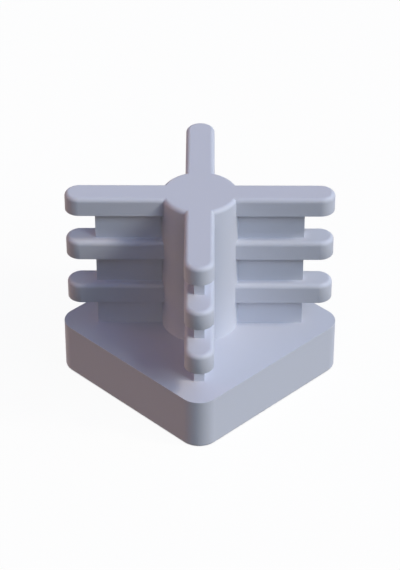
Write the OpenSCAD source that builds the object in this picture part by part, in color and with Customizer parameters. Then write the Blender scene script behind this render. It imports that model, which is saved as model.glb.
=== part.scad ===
// Cap for the open end of a square tube, moulded in one piece. The thick square head closes the
// tube, and four ribs on a round core press into the tube's inner corners. Each rib is a stack of
// round-tipped fins on a thin web. Millimetres, +Z up, sides along X and Y, and the origin at the
// centre of the head's outer face.

/* [Tube] */
// Outer side of the square tube, and of the head
tube_side = 20; // [16:0.5:30]
// Wall of the tube
tube_wall = 0.8; // [0.5:0.1:2]

/* [Head] */
// Thickness of the head
head_height = 5.25; // [3:0.05:8]
// Radius of the head's upright corners
head_corner_r = 2.05; // [0.5:0.05:4]
// Rounding along the edge of the head's outer face
head_edge_r = 0.2; // [0.1:0.05:0.4]

/* [Core] */
// Diameter of the round core
core_d = 7.4; // [5:0.1:10]

/* [Ribs] */
// Number of fins on each rib
fin_count = 3; // [1:1:5]
// Thickness of the lowest fin
fin_height = 2.06; // [1:0.02:3]
// How much thinner each fin is than the one below it
fin_thinning = 0.09; // [0:0.01:0.2]
// Open space under each fin
fin_gap = 3; // [1:0.1:5]
// Width of a fin, and of its round tip
fin_width = 2.8; // [1.8:0.1:4]
// How far a tip stands past the tube's inner walls until it is pressed in
tip_press = 0.27; // [0:0.01:0.6]
// Thickness of the web that joins the fins of a rib
web_width = 1; // [0.6:0.1:1.6]
// How far the web stops short of the tips
web_setback = 2.85; // [1:0.05:4]
// Rounding along the upper edges of the fins and the core
edge_r = 0.45; // [0.1:0.05:0.8]

/* [Hidden] */
$fn = 96;
insert_height = fin_top(fin_count - 1);
tip_r = fin_width / 2;
// A tip is centred on a diagonal, with its round end past both walls of the tube's corner
tip_center = (tube_side / 2 - tube_wall + tip_press - tip_r) * sqrt(2);
web_reach = tip_center + tip_r - web_setback;

// Fins are counted upwards from 0, and heights are from the head's inner face
function fin_thickness(level) = fin_height - level * fin_thinning;
function fin_top(level) = fin_gap + fin_thickness(level) + (level > 0 ? fin_top(level - 1) : 0);

// Half of an upright section, from its middle line outwards, with the upper outer corner rounded
module half_section(reach, height, round_r) {
    square([reach, height - round_r]);
    square([reach - round_r, height]);
    translate([reach - round_r, height - round_r])
        intersection() {
            circle(r = round_r);
            square(round_r);
        }
}

// A straight bar of that section along +X, upright on the XY plane
module bar(length, width, height, round_r) {
    rotate([90, 0, 90])
        linear_extrude(height = length)
            for (side = [0, 1])
                mirror([side, 0]) half_section(width / 2, height, round_r);
}

// The head stands upside down while it is built, so that the rounded edge ends up below
module head() {
    straight = tube_side - 2 * head_corner_r;
    translate([0, 0, head_height])
        mirror([0, 0, 1])
            for (quarter = [0:3])
                rotate(90 * quarter) {
                    translate([straight / 2, straight / 2, 0])
                        rotate_extrude() half_section(head_corner_r, head_height, head_edge_r);
                    translate([-straight / 2, 0, 0])
                        bar(straight, tube_side, head_height, head_edge_r);
                }
}

module core() {
    rotate_extrude() half_section(core_d / 2, insert_height, edge_r);
}

// One fin, from the core's axis out to its round tip along +X
module fin(thickness) {
    bar(tip_center, fin_width, thickness, edge_r);
    translate([tip_center, 0, 0])
        rotate_extrude() half_section(tip_r, thickness, edge_r);
}

module rib() {
    for (level = [0:fin_count - 1])
        translate([0, 0, fin_top(level) - fin_thickness(level)]) fin(fin_thickness(level));
    translate([0, -web_width / 2, 0])
        cube([web_reach, web_width, insert_height - fin_thickness(fin_count - 1) / 2]);
}

module end_cap() {
    color([0.69, 0.71, 0.78]) {
        head();
        translate([0, 0, head_height]) {
            core();
            for (corner = [0:3]) rotate(45 + 90 * corner) rib();
        }
    }
}

end_cap();
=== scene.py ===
import math

import bmesh
import bpy
from mathutils import Matrix, Vector


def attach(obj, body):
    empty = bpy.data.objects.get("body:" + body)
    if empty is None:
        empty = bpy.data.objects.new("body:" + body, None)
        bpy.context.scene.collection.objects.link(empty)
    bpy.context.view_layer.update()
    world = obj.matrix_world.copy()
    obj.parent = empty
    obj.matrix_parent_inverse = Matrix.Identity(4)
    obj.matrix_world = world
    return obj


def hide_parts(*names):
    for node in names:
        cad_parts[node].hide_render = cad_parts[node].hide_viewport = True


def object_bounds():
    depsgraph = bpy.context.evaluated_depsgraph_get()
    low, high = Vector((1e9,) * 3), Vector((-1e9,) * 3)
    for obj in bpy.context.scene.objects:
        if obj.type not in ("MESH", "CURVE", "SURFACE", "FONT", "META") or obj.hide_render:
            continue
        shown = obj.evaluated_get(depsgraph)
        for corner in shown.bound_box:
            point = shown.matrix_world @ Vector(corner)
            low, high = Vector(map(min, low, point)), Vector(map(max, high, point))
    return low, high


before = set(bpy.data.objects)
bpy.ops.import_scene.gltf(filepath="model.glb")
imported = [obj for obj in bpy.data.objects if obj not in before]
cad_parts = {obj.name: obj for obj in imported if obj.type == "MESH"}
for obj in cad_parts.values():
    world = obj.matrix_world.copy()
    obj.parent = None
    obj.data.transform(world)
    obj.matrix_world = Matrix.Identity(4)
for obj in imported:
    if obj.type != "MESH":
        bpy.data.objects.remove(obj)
cadLow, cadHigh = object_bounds()
millimetre = 0.001

# The cap, in millimetres and degrees
cap = {
    "side": (cadHigh.x - cadLow.x) / millimetre,
    "height": (cadHigh.z - cadLow.z) / millimetre,
    "headHeight": 5.25,
    "headCorner": 2.05,
    "outerEdge": 0.2,
    "coreRadius": 3.7,
    "barTurns": (45, 135),  # a bar of fins and web runs through the core and makes two ribs
    "finCount": 3,
    "finHeight": 2.06,  # of the lowest fin
    "finThinning": 0.09,  # from each fin to the next one up
    "finGap": 3.0,
    "finWidth": 2.8,
    "finReach": 12.81,
    "finEdge": 0.45,
    "webWidth": 1.0,
    "webReach": 9.96,
    "crispEdge": 0.03,  # a moulded edge is never quite sharp
    "overlap": 1.0,  # how far one form runs into the next before they are united
    "coreSides": 96,
    "cornerSteps": 24,
    "edgeSteps": 8,
    "crispSteps": 2,
    "slack": 1e-6,  # an edge this little out still counts as level or upright
    "weld": 1e-4,  # corners of one form that are closer than this become one
    "merge": 0.001,  # and so do corners of the united cap within this
    "sharpAngle": 35,
}


def uprightEdges(bm):
    return [e for e in bm.edges if (e.verts[0].co - e.verts[1].co).xy.length < cap["slack"]]


def levelEdges(bm, height):
    return [e for e in bm.edges if all(abs(v.co.z - height) < cap["slack"] for v in e.verts)]


def roundEdges(bm, edges, radius, steps):
    segments = steps if radius > cap["crispEdge"] else cap["crispSteps"]
    bmesh.ops.bevel(bm, geom=edges, offset=radius, offset_type="OFFSET", affect="EDGES",
                    segments=segments, profile=0.5, material=-1)
    bmesh.ops.remove_doubles(bm, verts=bm.verts, dist=cap["weld"])


def finishEnds(bm, low, high, lowEdge, highEdge):
    for height, radius in ((low, lowEdge), (high, highEdge)):
        if radius:
            roundEdges(bm, levelEdges(bm, height), radius, cap["edgeSteps"])


def toObject(bm, name):
    bmesh.ops.recalc_face_normals(bm, faces=bm.faces)
    mesh = bpy.data.meshes.new(name)
    bm.to_mesh(mesh)
    bm.free()
    piece = bpy.data.objects.new(name, mesh)
    bpy.context.scene.collection.objects.link(piece)
    return piece


def makeBlock(name, length, width, low, high, corner, turn, lowEdge=0, highEdge=0):
    # An upright block with round corners, then softer edges below and above
    bm = bmesh.new()
    bmesh.ops.create_cube(bm, size=1)
    bmesh.ops.scale(bm, verts=bm.verts, vec=(length, width, high - low))
    bmesh.ops.translate(bm, verts=bm.verts, vec=(0, 0, (low + high) / 2))
    roundEdges(bm, uprightEdges(bm), corner, cap["cornerSteps"])
    finishEnds(bm, low, high, lowEdge, highEdge)
    bmesh.ops.rotate(bm, verts=bm.verts, matrix=Matrix.Rotation(math.radians(turn), 3, "Z"))
    return toObject(bm, name)


def makeCore():
    low, high = cap["headHeight"] - cap["overlap"], cap["height"]
    bm = bmesh.new()
    bmesh.ops.create_cone(bm, cap_ends=True, segments=cap["coreSides"], depth=high - low,
                          radius1=cap["coreRadius"], radius2=cap["coreRadius"])
    bmesh.ops.translate(bm, verts=bm.verts, vec=(0, 0, (low + high) / 2))
    finishEnds(bm, low, high, 0, cap["finEdge"])
    return toObject(bm, "core")


def makeWeb(turn):
    # From inside the head up to inside the top fin
    low, high = cap["headHeight"] - cap["overlap"], cap["height"] - cap["finHeight"] / 2
    return makeBlock("web", 2 * cap["webReach"], cap["webWidth"], low, high,
                     cap["crispEdge"], turn)


def makeFins(turn):
    fins = []
    top = cap["headHeight"]
    for level in range(cap["finCount"]):
        low = top + cap["finGap"]
        top = low + cap["finHeight"] - level * cap["finThinning"]
        fins.append(makeBlock("fin", 2 * cap["finReach"], cap["finWidth"], low, top,
                              cap["finWidth"] / 2, turn,
                              lowEdge=cap["crispEdge"], highEdge=cap["finEdge"]))
    return fins


def unite(base, others):
    for other in others:
        union = base.modifiers.new("union", "BOOLEAN")
        union.operation = "UNION"
        union.solver = "EXACT"
        union.object = other
    depsgraph = bpy.context.evaluated_depsgraph_get()
    mesh = bpy.data.meshes.new_from_object(base.evaluated_get(depsgraph))
    base.modifiers.clear()
    base.data = mesh
    for other in others:
        bpy.data.objects.remove(other)
    bm = bmesh.new()
    bm.from_mesh(mesh)
    bmesh.ops.remove_doubles(bm, verts=bm.verts, dist=cap["merge"])
    bmesh.ops.dissolve_degenerate(bm, edges=bm.edges, dist=cap["merge"])
    bm.to_mesh(mesh)
    bm.free()
    return base


def makeCap():
    head = makeBlock("moulded_cap", cap["side"], cap["side"], 0, cap["headHeight"],
                     cap["headCorner"], 0, lowEdge=cap["outerEdge"], highEdge=cap["crispEdge"])
    forms = [makeCore()]
    for turn in cap["barTurns"]:
        forms += [makeWeb(turn), *makeFins(turn)]
    piece = unite(head, forms)
    piece.data.transform(Matrix.Scale(millimetre, 4))
    for face in piece.data.polygons:
        face.use_smooth = True
    piece.data.set_sharp_from_angle(angle=math.radians(cap["sharpAngle"]))
    weighted = piece.modifiers.new("flat faces stay flat", "WEIGHTED_NORMAL")
    weighted.keep_sharp = True
    return piece


print("modelling the cap")
mouldedCap = makeCap()
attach(mouldedCap, "root")
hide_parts("end_cap")

print("plastic")
# Grey polyethylene as it leaves the mould: satin, a little cloudy, with the fine grain of the tool
plastic = {
    "colour": (0.62, 0.64, 0.72),
    "cloudSize": 7.0,  # millimetres, as are grainSize and grainHeight
    "cloudDetail": 3,
    "cloudDepth": 0.015,  # the share by which the clouds are darker or paler
    "roughness": 0.5,
    "roughnessDrift": 0.05,
    "specular": 0.3,
    "grainSize": 0.22,
    "grainDetail": 2,
    "grainHeight": 0.003,
}


def noise(nodes, links, place, size, detail):
    texture = nodes.new("ShaderNodeTexNoise")
    texture.inputs["Scale"].default_value = 1 / size
    texture.inputs["Detail"].default_value = detail
    links.new(place, texture.inputs["Vector"])
    return texture.outputs["Fac"]


def makePlastic():
    material = bpy.data.materials.new("cap_plastic")
    material.use_nodes = True
    nodes, links = material.node_tree.nodes, material.node_tree.links
    shader = nodes["Principled BSDF"]
    shader.inputs["Specular IOR Level"].default_value = plastic["specular"]

    # Places on the cap, in millimetres
    where = nodes.new("ShaderNodeTexCoord")
    scale = nodes.new("ShaderNodeMapping")
    scale.inputs["Scale"].default_value = (1 / millimetre,) * 3
    links.new(where.outputs["Object"], scale.inputs["Vector"])
    place = scale.outputs["Vector"]

    cloud = noise(nodes, links, place, plastic["cloudSize"], plastic["cloudDetail"])
    tones = nodes.new("ShaderNodeMix")
    tones.data_type = "RGBA"
    dark, pale = 1 - plastic["cloudDepth"], 1 + plastic["cloudDepth"]
    tones.inputs["A"].default_value = (*(c * dark for c in plastic["colour"]), 1)
    tones.inputs["B"].default_value = (*(c * pale for c in plastic["colour"]), 1)
    links.new(cloud, tones.inputs["Factor"])
    links.new(tones.outputs["Result"], shader.inputs["Base Color"])

    grain = noise(nodes, links, place, plastic["grainSize"], plastic["grainDetail"])
    gloss = nodes.new("ShaderNodeMapRange")
    gloss.inputs["To Min"].default_value = plastic["roughness"] - plastic["roughnessDrift"]
    gloss.inputs["To Max"].default_value = plastic["roughness"] + plastic["roughnessDrift"]
    links.new(grain, gloss.inputs["Value"])
    links.new(gloss.outputs["Result"], shader.inputs["Roughness"])

    bump = nodes.new("ShaderNodeBump")
    bump.inputs["Distance"].default_value = plastic["grainHeight"] * millimetre
    links.new(grain, bump.inputs["Height"])
    links.new(bump.outputs["Normal"], shader.inputs["Normal"])
    return material


mouldedCap.data.materials.append(makePlastic())

print("camera")
# Where the photograph was taken from, as solved from the cap's own edges, in degrees and metres
view = {
    "azimuth": 45.3,  # turned to the right of the front
    "elevation": 35.17,
    "distance": 0.218,
    "target": Vector((0.00001, 0.00001, 0.00937)),
    "lens": 141.7,  # millimetres, as is the sensor
    "sensor": 36,
    "nearest": 0.001,
}


def direction(azimuth, elevation):
    azimuth, elevation = math.radians(azimuth), math.radians(elevation)
    level = math.cos(elevation)
    return Vector((math.sin(azimuth) * level, -math.cos(azimuth) * level, math.sin(elevation)))


def pointAtCap(name, data, towards):
    # A camera or a lamp, out in that direction and turned to look back along it
    piece = bpy.data.objects.new(name, data)
    piece.rotation_euler = towards.to_track_quat("Z", "Y").to_euler()
    bpy.context.scene.collection.objects.link(piece)
    return piece


def makeCamera():
    towards = direction(view["azimuth"], view["elevation"])
    camera = pointAtCap("camera", bpy.data.cameras.new("camera"), towards)
    camera.location = view["target"] + towards * view["distance"]
    camera.data.lens = view["lens"]
    camera.data.sensor_width = view["sensor"]
    camera.data.clip_start = view["nearest"]
    bpy.context.scene.camera = camera


makeCamera()

print("studio")
# A light tent, pure white to the camera and in reflections, where only the lamps give light
studio = {
    "floorWidth": 6.0,  # metres
    "floorTone": (0.95, 0.95, 0.95),
    "floorGlow": 0.95,  # the rest is the lit floor, with the cap's shadow on it
    "paintedShadeReach": 0.8,  # millimetres from the cap within which the glow fades into painted contact shadow
    "paintedShadeOpen": 0.5,  # the glow is whole where this share of the sky is open; where less is open it fades, painting shade under the cap's edge
}


def seenDirectly(nodes, links):
    # 1 for what the camera, a reflection or clear plastic looks at, 0 for light on its way
    path = nodes.new("ShaderNodeLightPath")
    most = path.outputs["Is Camera Ray"]
    for kind in ("Is Glossy Ray", "Is Transmission Ray"):
        larger = nodes.new("ShaderNodeMath")
        larger.operation = "MAXIMUM"
        links.new(most, larger.inputs[0])
        links.new(path.outputs[kind], larger.inputs[1])
        most = larger.outputs[0]
    return most


def makeWorld():
    world = bpy.data.worlds.new("tent")
    bpy.context.scene.world = world
    world.use_nodes = True
    nodes, links = world.node_tree.nodes, world.node_tree.links
    nodes["Background"].inputs["Color"].default_value = (1, 1, 1, 1)
    links.new(seenDirectly(nodes, links), nodes["Background"].inputs["Strength"])


def makeFloor():
    bm = bmesh.new()
    bmesh.ops.create_grid(bm, x_segments=1, y_segments=1, size=studio["floorWidth"] / 2)
    floor = toObject(bm, "floor")
    floor.visible_diffuse = False
    material = bpy.data.materials.new("pale_floor")
    material.use_nodes = True
    nodes, links = material.node_tree.nodes, material.node_tree.links
    nodes.remove(nodes["Principled BSDF"])
    paper = nodes.new("ShaderNodeBsdfDiffuse")
    paper.inputs["Color"].default_value = (*studio["floorTone"], 1)
    glow = nodes.new("ShaderNodeEmission")
    # Painted contact shadow: the floor's glow fades where the cap hides its sky, so the floor
    # turns darker right at the cap's edge
    sky = nodes.new("ShaderNodeAmbientOcclusion")
    sky.inputs["Distance"].default_value = studio["paintedShadeReach"] * millimetre
    contact = nodes.new("ShaderNodeMapRange")
    contact.inputs["From Max"].default_value = studio["paintedShadeOpen"]
    contact.inputs["To Max"].default_value = studio["floorGlow"]
    share = nodes.new("ShaderNodeMath")
    share.operation = "MULTIPLY"
    blend = nodes.new("ShaderNodeMixShader")
    links.new(sky.outputs["AO"], contact.inputs["Value"])
    links.new(seenDirectly(nodes, links), share.inputs[0])
    links.new(contact.outputs["Result"], share.inputs[1])
    links.new(share.outputs[0], blend.inputs["Fac"])
    links.new(paper.outputs["BSDF"], blend.inputs[1])
    links.new(glow.outputs["Emission"], blend.inputs[2])
    links.new(blend.outputs["Shader"], nodes["Material Output"].inputs["Surface"])
    floor.data.materials.append(material)


makeWorld()
makeFloor()

print("lamps")
# Soft lamps from far off, in degrees: turn is to the right of the camera, rise is up from the
# floor, and spread is how wide the lamp looks from the cap
lamps = {
    "key_low": {"turn": 51.5, "rise": 30, "spread": 22,
                "colour": (0.89, 0.98, 1.0), "strength": 1.08},
    "key_high": {"turn": 78.5, "rise": 42, "spread": 10,
                 "colour": (1.0, 0.86, 0.66), "strength": 1.4},
    "warm_side": {"turn": -97.5, "rise": 11.5, "spread": 26.5,
                  "colour": (1.0, 0.61, 0.3), "strength": 0.82},
    "front_low": {"turn": -7, "rise": 34, "spread": 12.5,
                  "colour": (1.0, 0.94, 0.93), "strength": 0.26},
    "front_high": {"turn": 25.5, "rise": 47, "spread": 22.5,
                   "colour": (0.3, 0.51, 1.0), "strength": 0.23},
    "back_fill": {"turn": 96, "rise": 43, "spread": 70,
                  "colour": (0.36, 0.57, 1.0), "strength": 1.13},
    "cool_fill": {"turn": -93.5, "rise": 31, "spread": 32.5,
                  "colour": (0.3, 0.3, 1.0), "strength": 0.29},
}


def makeLamp(name, lamp):
    light = bpy.data.lights.new(name, "SUN")
    light.energy = lamp["strength"]
    light.color = lamp["colour"]
    light.angle = math.radians(lamp["spread"])
    pointAtCap(name, light, direction(view["azimuth"] + lamp["turn"], lamp["rise"]))


for name, lamp in lamps.items():
    makeLamp(name, lamp)
bpy.context.scene.view_settings.view_transform = "Standard"
